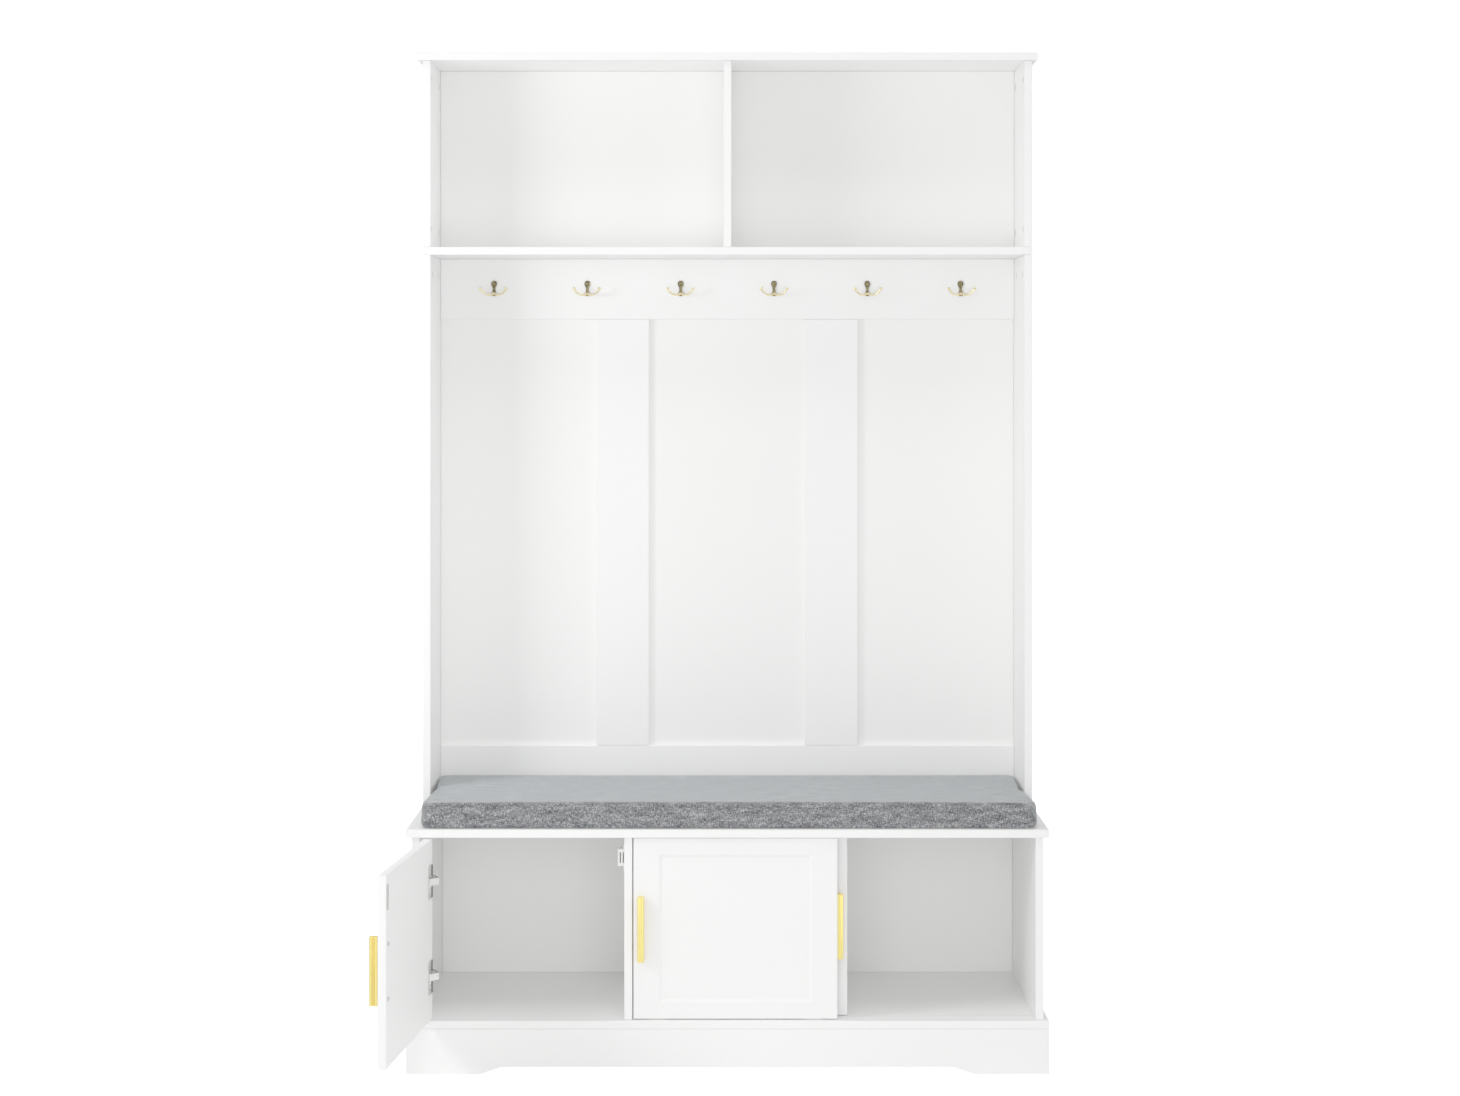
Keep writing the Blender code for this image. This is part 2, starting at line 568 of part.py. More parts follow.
def build_hinge(word, height, nickel):
    """The cabinet side of one concealed hinge: mounting plate, cranked arm and its swinging link."""
    corner = Vector((-INNER, FRONT, height))
    board(f"hinge_plate_{word}", (-INNER + GAP, -INNER + PLATE_THICK),
          (FRONT + PLATE_DEPTH[0], FRONT + PLATE_DEPTH[1]),
          (height - PLATE_HALF_HEIGHT, height + PLATE_HALF_HEIGHT), nickel, edge=0.0004)

    turn = [math.radians(a) for a in (180, 210, 240, 270, 300, 330, 360)]
    tip = [(NOSE.x + NOSE_RADIUS * math.cos(a), NOSE.y + NOSE_RADIUS * math.sin(a)) for a in turn]
    outline = [(ARM_INSIDE, ARM_REAR), (ARM_INSIDE, ARM_CRANK[1])] + tip
    outline += [(NOSE.x + NOSE_RADIUS, ARM_CRANK[0]), (ARM_OUTSIDE, ARM_CRANK[2]), (ARM_OUTSIDE, ARM_REAR)]
    bm = bmesh.new()
    add_prism(bm, outline, -ARM_HALF_HEIGHT, ARM_HALF_HEIGHT, in_plan)
    arm = add_object(f"hinge_arm_{word}", bm, nickel, corner)
    slot = LINK_HALF_HEIGHT + SLOT_PLAY
    cut(arm, lambda bm: add_box(bm, (NOSE.x - 2 * NOSE_RADIUS, NOSE.x + 2 * NOSE_RADIUS), NOSE_SLOT, (-slot, slot)))
    cut(arm, lambda bm: add_cylinder(bm, (NOSE.x, NOSE.y, 0), (0, 0, 1), PIN_RADIUS, 2 * slot + 0.001, ROUND // 2),
        "UNION")

    pin = Vector((NOSE.x, NOSE.y, 0))
    knee, end = KNEE - NOSE, LINK_TIP - NOSE
    bm = bmesh.new()
    add_prism(bm, strip_outline([Vector((0, 0)), knee, end], LINK_THICK), -LINK_HALF_HEIGHT,
              LINK_HALF_HEIGHT, in_plan)
    link = add_object(f"hinge_link_{word}", bm, nickel, corner + pin)
    cut(link, lambda bm: add_cylinder(bm, (0, 0, 0), (0, 0, 1), LINK_EYE, 2 * LINK_HALF_HEIGHT), "UNION")
    cut(link, lambda bm: add_cylinder(bm, (0, 0, 0), (0, 0, 1), PIN_BORE, 3 * LINK_HALF_HEIGHT, ROUND // 2))


def strip_outline(points, width):
    """Outline of a bent strip of the given width along three points."""
    first = (points[1] - points[0]).normalized()
    second = (points[2] - points[1]).normalized()
    sides = []
    for sign in (-1, 1):
        n1 = Vector((-first.y, first.x)) * sign * width / 2
        n2 = Vector((-second.y, second.x)) * sign * width / 2
        mitre = (n1 + n2).normalized() * (width / 2) / math.cos(n1.angle(n2) / 2)
        sides.append([points[0] + n1, points[1] + mitre, points[2] + n2])
    return [tuple(p) for p in sides[0] + list(reversed(sides[1]))]


def build_catch(plastic):
    """Magnetic catch on the divider: a block between two screw ears."""
    thick, ear, body, ears = CATCH_THICK, CATCH_EAR_THICK, CATCH_HALF_HEIGHT, CATCH_EAR_END
    outline = [(0, -ears), (0, ears), (-ear, ears), (-ear, body), (-thick, body), (-thick, -body),
               (-ear, -body), (-ear, -ears)]
    bm = bmesh.new()
    add_prism(bm, outline, 0.0, CATCH_DEPTH, facing_front)
    add_object("magnetic_catch", bm, plastic, (DIVIDER_LEFT - GAP, FRONT + HINGED_THICK + 0.002, CATCH_HEIGHT))


# ---------------------------------------------------------------- the whole

def main():
    clear_scene()
    paint = material("white_paint", (0.90, 0.90, 0.89), 0.42)
    gold = material("gold", (0.86, 0.69, 0.33), 0.28, 1.0)
    brass = material("antique_brass", (0.42, 0.32, 0.14), 0.35, 1.0)
    nickel = material("nickel", (0.62, 0.62, 0.61), 0.25, 1.0)
    steel = material("zinc_steel", (0.55, 0.55, 0.54), 0.35, 1.0)
    nylon = material("nylon", (0.85, 0.85, 0.83), 0.55)
    plastic = material("white_plastic", (0.88, 0.88, 0.86), 0.45)
    fabric = material("grey_linen", (0.36, 0.39, 0.41), 0.95)

    build_plinth(paint)
    build_bench(paint)
    build_cushion(fabric)
    build_hutch(paint)
    build_hooks(brass)
    build_hinged_door(paint, gold, steel, nickel)
    for word, height in HINGE_HEIGHTS.items():
        build_hinge(word, height, nickel)
    build_catch(plastic)
    front_left = DIVIDER_LEFT + BOARD + SLIDING_END_GAP
    build_sliding_door("front", front_left, FRONT_DOOR_SETBACK, -1, paint, gold, nylon)
    rear_left = REAR_DOOR_RIGHT - SLIDING_WIDTH
    build_sliding_door("rear", rear_left, REAR_DOOR_SETBACK, 1, paint, gold, nylon)


main()
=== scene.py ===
"""Looks for the hall tree: painted boards, gold handles, brass hooks, cup hinges and a linen cushion."""
import json
import math

import bmesh
import bpy
from mathutils import Matrix, Vector


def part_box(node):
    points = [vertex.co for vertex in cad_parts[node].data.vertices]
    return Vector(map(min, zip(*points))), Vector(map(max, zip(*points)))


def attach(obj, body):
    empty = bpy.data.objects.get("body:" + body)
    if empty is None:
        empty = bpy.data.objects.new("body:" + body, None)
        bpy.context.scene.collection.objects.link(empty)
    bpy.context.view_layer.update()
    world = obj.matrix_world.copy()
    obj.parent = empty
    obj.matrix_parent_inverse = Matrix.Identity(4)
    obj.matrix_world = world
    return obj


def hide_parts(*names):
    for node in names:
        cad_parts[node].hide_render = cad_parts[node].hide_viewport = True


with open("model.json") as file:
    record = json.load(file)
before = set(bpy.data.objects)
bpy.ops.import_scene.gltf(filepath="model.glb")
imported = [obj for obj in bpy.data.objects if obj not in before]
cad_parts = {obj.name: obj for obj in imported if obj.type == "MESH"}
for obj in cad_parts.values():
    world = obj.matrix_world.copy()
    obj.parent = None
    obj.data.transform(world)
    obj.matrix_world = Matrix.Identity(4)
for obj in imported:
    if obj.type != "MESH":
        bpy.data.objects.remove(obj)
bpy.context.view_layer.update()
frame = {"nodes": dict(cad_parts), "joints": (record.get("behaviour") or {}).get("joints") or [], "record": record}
NODES = frame["nodes"]
JOINTS = {joint["name"]: joint for joint in frame["joints"]}

# ---- camera, in metres and pixels of a 1460 x 1096 picture
PICTURE_WIDTH, PICTURE_HEIGHT = 1460, 1096
FOCAL_PIXELS = 2683.8
SENSOR = 36.0
CAMERA_PLACE = Vector((-0.0069, -5.215, 1.2986))
PRINCIPAL_POINT = (723.9, 377.3)

# ---- furniture surfaces, read from the frame
BENCH_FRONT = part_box("bench_side_left")[0].y
HUTCH_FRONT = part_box("lower_side_left")[0].y
SIDE_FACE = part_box("bench_side_right")[0].x       # inner face of the right side panel; the left one mirrors it


# ---------------------------------------------------------------- materials

class Nodes:
    """A small helper that builds one material's node tree."""

    def __init__(self, name):
        self.mat = bpy.data.materials.new(name)
        self.mat.use_nodes = True
        self.tree = self.mat.node_tree
        self.shader = self.tree.nodes["Principled BSDF"]

    def add(self, kind, **values):
        node = self.tree.nodes.new(kind)
        for key, value in values.items():
            setattr(node, key, value)
        return node

    def link(self, out, into):
        self.tree.links.new(out, into)

    def coords(self, scale=(1, 1, 1)):
        source = self.add("ShaderNodeTexCoord")
        mapping = self.add("ShaderNodeMapping")
        mapping.inputs["Scale"].default_value = scale
        self.link(source.outputs["Object"], mapping.inputs["Vector"])
        return mapping.outputs["Vector"]

    def noise(self, vector, scale, detail=2.0, roughness=0.5):
        node = self.add("ShaderNodeTexNoise")
        node.inputs["Scale"].default_value = scale
        node.inputs["Detail"].default_value = detail
        node.inputs["Roughness"].default_value = roughness
        self.link(vector, node.inputs["Vector"])
        return node.outputs["Fac"]

    def math(self, operation, a, b=None, c=None):
        node = self.add("ShaderNodeMath", operation=operation)
        for socket, value in zip(node.inputs, (a, b, c)):
            if value is None:
                continue
            if isinstance(value, (int, float)):
                socket.default_value = value
            else:
                self.link(value, socket)
        return node.outputs["Value"]

    def remap(self, value, low, high, to_low, to_high):
        node = self.add("ShaderNodeMapRange")
        self.link(value, node.inputs["Value"])
        for key, number in (("From Min", low), ("From Max", high), ("To Min", to_low), ("To Max", to_high)):
            node.inputs[key].default_value = number
        return node.outputs["Result"]

    def ramp(self, value, stops):
        node = self.add("ShaderNodeValToRGB")
        elements = node.color_ramp.elements
        while len(elements) < len(stops):
            elements.new(0.5)
        for element, (place, colour) in zip(elements, stops):
            element.position = place
            element.color = (*colour, 1.0)
        self.link(value, node.inputs["Fac"])
        return node.outputs["Color"]

    def bump(self, height, strength, distance, normal=None):
        node = self.add("ShaderNodeBump")
        node.inputs["Strength"].default_value = strength
        node.inputs["Distance"].default_value = distance
        self.link(height, node.inputs["Height"])
        if normal is not None:
            self.link(normal, node.inputs["Normal"])
        return node.outputs["Normal"]

    def soft_edges(self, radius):
        node = self.add("ShaderNodeBevel", samples=4)
        node.inputs["Radius"].default_value = radius
        return node.outputs["Normal"]

    def set(self, **sockets):
        """Set or link shader inputs; keys have underscores for the spaces in a socket's name."""
        for key, value in sockets.items():
            socket = self.shader.inputs[key.replace("_", " ")]
            if isinstance(value, bpy.types.NodeSocket):
                self.link(value, socket)
            elif isinstance(value, tuple):
                socket.default_value = (*value, 1.0)
            else:
                socket.default_value = value
        return self.mat


def painted_board(name, light, shade, rough=(0.36, 0.50)):
    """Satin paint over board: faint cloudy tone, orange peel and roller texture."""
    n = Nodes(name)
    place = n.coords()
    cloud = n.noise(place, 2.4, 3.0)
    mottle = n.noise(place, 55.0, 2.0)
    tone = n.math("MULTIPLY_ADD", mottle, 0.25, n.math("MULTIPLY", cloud, 0.75))
    colour = n.ramp(tone, [(0.30, shade), (0.65, light)])
    peel = n.noise(place, 620.0, 2.0, 0.6)
    sheen = n.noise(place, 18.0, 3.0)
    normal = n.bump(peel, 0.10, 0.0002, n.soft_edges(0.0008))
    return n.set(Base_Color=colour, Roughness=n.remap(sheen, 0.25, 0.75, *rough), Normal=normal,
                 Specular_IOR_Level=0.38)


def brushed_metal(name, bright, dark, rough, along, streak=0.35):
    """Metal with fine brush lines along one axis (0, 1 or 2)."""
    n = Nodes(name)
    scale = [2600.0, 2600.0, 2600.0]
    scale[along] = 40.0
    lines = n.noise(n.coords(tuple(scale)), 1.0, 3.0, 0.65)
    blotch = n.noise(n.coords(), 120.0, 2.0)
    tone = n.math("MULTIPLY_ADD", lines, 0.7, n.math("MULTIPLY", blotch, 0.3))
    colour = n.ramp(tone, [(0.30, dark), (0.60, bright)])
    normal = n.bump(lines, streak, 0.00008)
    return n.set(Base_Color=colour, Metallic=1.0, Roughness=n.remap(lines, 0.3, 0.7, rough[0], rough[1]),
                 Normal=normal, Anisotropic=0.45)


def cast_metal(name, bright, dark, rough, spread=(0.35, 0.62)):
    """Plated casting: cloudy patina, darker in patches, with a slightly uneven skin."""
    n = Nodes(name)
    place = n.coords()
    patina = n.noise(place, 260.0, 4.0, 0.6)
    colour = n.ramp(patina, [(spread[0], dark), (spread[1], bright)])
    skin = n.noise(place, 1500.0, 2.0)
    return n.set(Base_Color=colour, Metallic=1.0, Roughness=n.remap(patina, 0.3, 0.7, rough[1], rough[0]),
                 Normal=n.bump(skin, 0.15, 0.00006))


def moulded_plastic(name, light, shade):
    """Injection moulded plastic: fine spark-eroded grain."""
    n = Nodes(name)
    place = n.coords()
    grain = n.noise(place, 2200.0, 2.0)
    cloud = n.noise(place, 90.0, 2.0)
    return n.set(Base_Color=n.ramp(cloud, [(0.35, shade), (0.65, light)]),
                 Roughness=n.remap(cloud, 0.3, 0.7, 0.38, 0.52), Normal=n.bump(grain, 0.2, 0.00005))


def woven_linen(name):
    """Heathered blue-grey plain weave: slubs run along both yarn directions, on top, front and end faces alike."""
    n = Nodes(name)
    source = n.add("ShaderNodeTexCoord")
    split = n.add("ShaderNodeSeparateXYZ")
    n.link(source.outputs["Object"], split.inputs[0])
    facing = n.add("ShaderNodeSeparateXYZ")
    n.link(source.outputs["Normal"], facing.inputs[0])
    x, y, z = split.outputs
    end_face = n.math("GREATER_THAN", n.math("ABSOLUTE", facing.outputs[0]), 0.75)
    side = n.math("SUBTRACT", 1.0, end_face)
    fold = n.math("ADD", y, z)
    u = n.math("MULTIPLY_ADD", fold, end_face, n.math("MULTIPLY", x, side))
    v = n.math("MULTIPLY_ADD", z, end_face, n.math("MULTIPLY", fold, side))

    pitch, slub = 0.00105, 0.0055

    def yarn_tone(a, b, seed):
        """Colour of the yarns that run along a: long slubs, with every yarn its own shade."""
        place = n.add("ShaderNodeCombineXYZ")
        n.link(n.math("MULTIPLY", a, 1.0 / slub), place.inputs[0])
        n.link(n.math("MULTIPLY", n.math("FLOOR", n.math("DIVIDE", b, pitch)), 0.77), place.inputs[1])
        place.inputs[2].default_value = seed
        return n.noise(place.outputs[0], 1.0, 2.5, 0.62)

    def wave(t):
        return n.math("SINE", n.math("MULTIPLY", t, 2 * math.pi / pitch))

    weft, warp = yarn_tone(u, v, 3.0), yarn_tone(v, u, 11.0)
    over = n.math("MULTIPLY_ADD", n.math("MULTIPLY", wave(u), wave(v)), 0.5, 0.5)
    over = n.remap(over, 0.35, 0.65, 0.0, 1.0)
    yarn = n.math("ADD", n.math("MULTIPLY", weft, over),
                  n.math("MULTIPLY", warp, n.math("SUBTRACT", 1.0, over)))

    def streak_tone(a, b, seed, along=130.0, across=560.0):
        """Heather: dark and light dashes lying along a."""
        place = n.add("ShaderNodeCombineXYZ")
        n.link(n.math("MULTIPLY", a, along), place.inputs[0])
        n.link(n.math("MULTIPLY", b, across), place.inputs[1])
        place.inputs[2].default_value = seed
        return n.noise(place.outputs[0], 1.0, 2.0, 0.7)

    dashes = n.math("MULTIPLY_ADD", streak_tone(u, v, 5.0), 0.5, n.math("MULTIPLY", streak_tone(v, u, 8.0), 0.5))
    long_slubs = streak_tone(u, v, 14.0, 26.0, 75.0)
    streak = n.math("MULTIPLY_ADD", dashes, 0.75, n.math("MULTIPLY", long_slubs, 0.25))
    tone = n.math("ADD", n.math("MULTIPLY", yarn, 0.30), n.math("MULTIPLY", streak, 0.70))
    # Painted sheen: the tone is made a little lighter where the cloth is seen at a grazing angle, so the top reads
    # lighter than the front.
    painted_sheen_facing = n.add("ShaderNodeLayerWeight").outputs["Facing"]
    tone = n.math("ADD", tone, n.remap(painted_sheen_facing, 0.4, 0.85, 0.0, 0.012))
    colour = n.ramp(tone, [(0.42, (0.018, 0.019, 0.021)), (0.475, (0.085, 0.090, 0.095)),
                           (0.525, (0.172, 0.180, 0.187)), (0.58, (0.46, 0.47, 0.48))])
    height = n.math("ADD", n.math("MULTIPLY", n.math("ABSOLUTE", wave(u)), 0.5),
                    n.math("MULTIPLY", n.math("ABSOLUTE", wave(v)), 0.5))
    height = n.math("MULTIPLY_ADD", tone, 1.2, height)
    return n.set(Base_Color=colour, Roughness=0.92, Normal=n.bump(height, 0.55, 0.0004),
                 Specular_IOR_Level=0.15, Sheen_Weight=0.82,
                 Sheen_Roughness=0.36, Sheen_Tint=(0.90, 0.96, 1.0))


PAINT = painted_board("white_paint", (0.925, 0.925, 0.921), (0.905, 0.905, 0.900))
BACK_PAINT = painted_board("white_back_foil", (0.925, 0.925, 0.915), (0.905, 0.905, 0.895), (0.48, 0.60))
GOLD = brushed_metal("pale_gold", (1.0, 0.82, 0.205), (0.95, 0.73, 0.155), (0.26, 0.42), along=2)
PRONG_GOLD = cast_metal("hook_gold", (1.0, 0.89, 0.52), (0.80, 0.64, 0.30), (0.14, 0.26))
BRASS = cast_metal("antique_brass", (0.27, 0.22, 0.105), (0.05, 0.038, 0.016), (0.22, 0.38), (0.42, 0.60))
# Painted highlight: a lighter copy of the nickel, for the hinge arms only, so they read as bright as the light
# they catch.
LIT_ARM_NICKEL = cast_metal("arm_nickel_painted_highlight", (0.98, 0.98, 0.97), (0.90, 0.90, 0.89), (0.24, 0.36))
# Near-black, for pieces that are painted shade: strips on the hinge cups' ears and a sheet on each hinge link.
SHADE_STEEL = moulded_plastic("painted_shade_steel", (0.060, 0.060, 0.060), (0.035, 0.035, 0.035))
NICKEL = brushed_metal("nickel", (0.86, 0.86, 0.85), (0.72, 0.72, 0.71), (0.20, 0.32), along=2, streak=0.15)
ZINC = cast_metal("zinc", (0.60, 0.60, 0.60), (0.36, 0.36, 0.37), (0.28, 0.45))
DARK_ZINC = cast_metal("cam_zinc", (0.26, 0.26, 0.27), (0.14, 0.14, 0.15), (0.35, 0.50))
NYLON = moulded_plastic("nylon", (0.80, 0.80, 0.77), (0.74, 0.74, 0.71))
PLASTIC = moulded_plastic("catch_plastic", (0.83, 0.83, 0.82), (0.77, 0.77, 0.76))
POLE_STEEL = moulded_plastic("magnet_poles", (0.060, 0.060, 0.060), (0.040, 0.040, 0.040))
LINEN = woven_linen("heather_linen")


# ---------------------------------------------------------------- mesh helpers

def finished_mesh(name, bm, mat):
    """A mesh of one material from bm, with its faces turned outwards."""
    bmesh.ops.recalc_face_normals(bm, faces=bm.faces)
    mesh = bpy.data.meshes.new(name)
    bm.to_mesh(mesh)
    bm.free()
    mesh.materials.append(mat)
    return mesh


def soften_edges(obj, width, degrees):
    edge = obj.modifiers.new("edges", "BEVEL")
    edge.width, edge.segments, edge.limit_method = width, 2, "ANGLE"
    edge.angle_limit = math.radians(degrees)


def mesh_piece(name, bm, mat, body, replaces=(), place=None, smooth_angle=35.0, bevel=None):
    """Turn bm into a piece of the object that rides on a body."""
    bmesh.ops.remove_doubles(bm, verts=bm.verts, dist=1e-7)
    mesh = finished_mesh(name, bm, mat)
    if place is not None:
        mesh.transform(place)
    return mesh_object(name, mesh, body, replaces, smooth_angle, bevel)


def mesh_object(name, mesh, body, replaces=(), smooth_angle=35.0, bevel=None):
    obj = bpy.data.objects.new(name, mesh)
    bpy.context.scene.collection.objects.link(obj)
    if bevel:
        soften_edges(obj, bevel, 38)
    mesh.shade_smooth()
    mesh.set_sharp_from_angle(angle=math.radians(smooth_angle))
    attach(obj, body)
    if replaces:
        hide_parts(*replaces)
    return obj


def loft(bm, rings, close_start=True):
    """Skin a list of equally long closed rings of points; the last ring is always closed."""
    loops = [[bm.verts.new(p) for p in ring] for ring in rings]
    count = len(loops[0])
    for a, b in zip(loops, loops[1:]):
        for k in range(count):
            bm.faces.new((a[k], a[(k + 1) % count], b[(k + 1) % count], b[k]))
    if close_start:
        bm.faces.new(list(reversed(loops[0])))
    bm.faces.new(loops[-1])


def turned(bm, centre, axis, profile, sides=24):
    """A solid of revolution about axis from centre; profile is (radius, distance along the axis)."""
    axis = Vector(axis).normalized()
    across = axis.orthogonal().normalized()
    up = axis.cross(across)
    rings = []
    for radius, along in profile:
        spin = [2 * math.pi * k / sides for k in range(sides)]
        rings.append([Vector(centre) + axis * along + (across * math.cos(s) + up * math.sin(s)) * radius
                      for s in spin])
    loft(bm, rings)


def tube(bm, points, radii, sides=16, squash=1.0):
    """A round tapering bar along points, without twist; squash narrows it in its second direction."""
    across = None
    rings = []
    for i, point in enumerate(points):
        ahead = (points[min(i + 1, len(points) - 1)] - points[max(i - 1, 0)]).normalized()
        across = ahead.orthogonal() if across is None else across - ahead * across.dot(ahead)
        across = across.normalized()
        up = ahead.cross(across)
        spin = [2 * math.pi * k / sides for k in range(sides)]
        rings.append([point + (across * math.cos(s) + up * math.sin(s) * squash) * radii[i] for s in spin])
    loft(bm, rings)


def spline(values, t):
    """Catmull-Rom through values (numbers or vectors) at parameter t, counted in steps."""
    i = min(int(t), len(values) - 2)
    f = t - i
    a, b, c, d = values[max(i - 1, 0)], values[i], values[i + 1], values[min(i + 2, len(values) - 1)]
    return (b * 2 + (c - a) * f + (a * 2 - b * 5 + c * 4 - d) * f ** 2 + (b * 3 - a - c * 3 + d) * f ** 3) * 0.5


def block(bm, low, high):
    """An axis-aligned block between two corners."""
    size = Vector(high) - Vector(low)
    middle = (Vector(high) + Vector(low)) / 2
    bmesh.ops.create_cube(bm, size=1.0, matrix=Matrix.Translation(middle) @ Matrix.Diagonal((*size, 1.0)))


def cross_screw(name, centre, outward, radius, height, mat, body, place=None, turn=0.4, replaces=()):
    """A screw with a domed head and a cross recess, standing on a face; outward is the face's normal."""
    bm = bmesh.new()
    steps, sides = 6, 24
    arm, depth = radius * 0.16, height * 0.75
    axis = Vector(outward).normalized()
    across = axis.orthogonal().normalized()
    up = axis.cross(across)
    profile = [(radius, 0.0), (radius, height * 0.28)]
    profile += [(radius * math.cos(a), height * (0.28 + 0.72 * math.sin(a)))
                for a in (math.pi / 2 * i / steps for i in range(1, steps))]
    rings = []
    for r, along in profile:
        ring = []
        for k in range(sides):
            s = 2 * math.pi * k / sides
            a, b = r * math.cos(s), r * math.sin(s)
            c, d = a * math.cos(turn) + b * math.sin(turn), b * math.cos(turn) - a * math.sin(turn)
            in_cross = r < radius * 0.62 and (abs(c) < arm * 1.2 or abs(d) < arm * 1.2)
            sink = depth if in_cross else 0.0
            ring.append(Vector(centre) + across * a + up * b + axis * (along - sink))
        rings.append(ring)
    loft(bm, rings)
    return mesh_piece(name, bm, mat, body, replaces, place, smooth_angle=50.0)


# ---------------------------------------------------------------- placing things on the swung door

def pivot_matrix(joint_name, degrees):
    """Turn about a hinge of the frame by an angle from its place at rest."""
    joint = JOINTS[joint_name]
    place = Matrix.Translation(Vector(joint["pos_m"]))
    return place @ Matrix.Rotation(math.radians(degrees), 4, Vector(joint["axis"])) @ place.inverted()


OPEN_DOOR = pivot_matrix("door_hinge", -JOINTS["door_hinge"]["range_deg"][1])


def shut_box(node):
    """Corners of one of the hinged door's nodes, as if the door were shut."""
    back = OPEN_DOOR.inverted()
    points = [back @ v.co for v in NODES[node].data.vertices]
    low = Vector([min(p[i] for p in points) for i in range(3)])
    high = Vector([max(p[i] for p in points) for i in range(3)])
    return low, high


# ---------------------------------------------------------------- handles

def fluted_handle(name, low, high, body, replaces, place=None):
    """Solid bar handle: two deep flutes along each side, a relieved foot, and a shallow groove down the front."""
    half, deep, tall = (high.x - low.x) / 2, high.y - low.y, high.z - low.z
    foot, flute, flute_half = 0.0022, 0.0034, 0.0011
    side = [(half - foot, 0.0), (half - foot, 0.0021), (half - 0.0002, 0.0029)]
    for centre in (deep * 0.44, deep * 0.65):
        side += [(half, centre - flute_half - 0.0004), (half - 0.0002, centre - flute_half),
                 (half - flute, centre - 0.0004), (half - flute, centre + 0.0004),
                 (half - 0.0002, centre + flute_half), (half, centre + flute_half + 0.0004)]
    side += [(half, deep - 0.0014), (half - 0.0003, deep - 0.0006), (half - 0.0011, deep)]
    front = [(half * 0.62, deep), (half * 0.40, deep - 0.0001), (half * 0.24, deep - 0.0007), (0.0, deep - 0.0009)]
    outline = side + front + [(-a, b) for a, b in reversed(side + front[:-1])]
    centre_x, face = (low.x + high.x) / 2, high.y
    bm = bmesh.new()
    rings = []
    chamfer = 0.0007
    for z, shrink in ((0.0, chamfer), (chamfer, 0.0), (tall - chamfer, 0.0), (tall, chamfer)):
        ring = []
        for a, b in outline:
            k = 1 - shrink / half
            ring.append(Vector((centre_x + a * k, face - min(b, deep - shrink if shrink else deep), low.z + z)))
        rings.append(ring)
    loft(bm, rings)
    return mesh_piece(name, bm, GOLD, body, replaces, place, smooth_angle=30.0)


def build_handles():
    for word in ("front", "rear"):
        node = f"{word}_door_handle"
        low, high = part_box(node)
        fluted_handle(f"{word}_handle_bar", low, high, f"{word}_door", (node,))
    low, high = shut_box("hinged_door_handle")
    fluted_handle("hinged_handle_bar", low, high, "left_door", ("hinged_door_handle",), OPEN_DOOR)
    for word in ("lower", "upper"):
        node = f"handle_screw_{word}"
        low, high = shut_box(node)
        centre = (low + high) / 2
        centre.y = low.y
        cross_screw(f"handle_bolt_{word}", centre, (0, 1, 0), 0.0041, 0.0019, ZINC, "left_door",
                    OPEN_DOOR, replaces=(node,))


# ---------------------------------------------------------------- coat hooks

HOOK_HALF_HEIGHT = 0.0155
HOOK_HEAD_RADIUS = 0.0061


def hook_outline(steps=40):
    """Half outline of the back plate, from foot to head: (half width, height)."""
    low, high = -HOOK_HALF_HEIGHT, HOOK_HALF_HEIGHT
    shape = [0.0048, 0.0056, 0.0050, 0.0036, 0.0029, 0.0028, 0.0033, 0.0047, 0.0059, 0.0061, 0.0052, 0.0]
    points = []
    for i in range(steps + 1):
        t = i / steps
        z = low + (high - low) * math.sin(t * math.pi / 2) ** 0.9
        u = (z - low) / (high - low) * (len(shape) - 1)
        half = max(spline(shape, u), 0.0)
        if u > len(shape) - 3:
            edge = (z - (high - HOOK_HEAD_RADIUS)) / HOOK_HEAD_RADIUS
            half = HOOK_HEAD_RADIUS * math.sqrt(max(1 - edge * edge, 0.0))
        points.append((half, z))
    return points


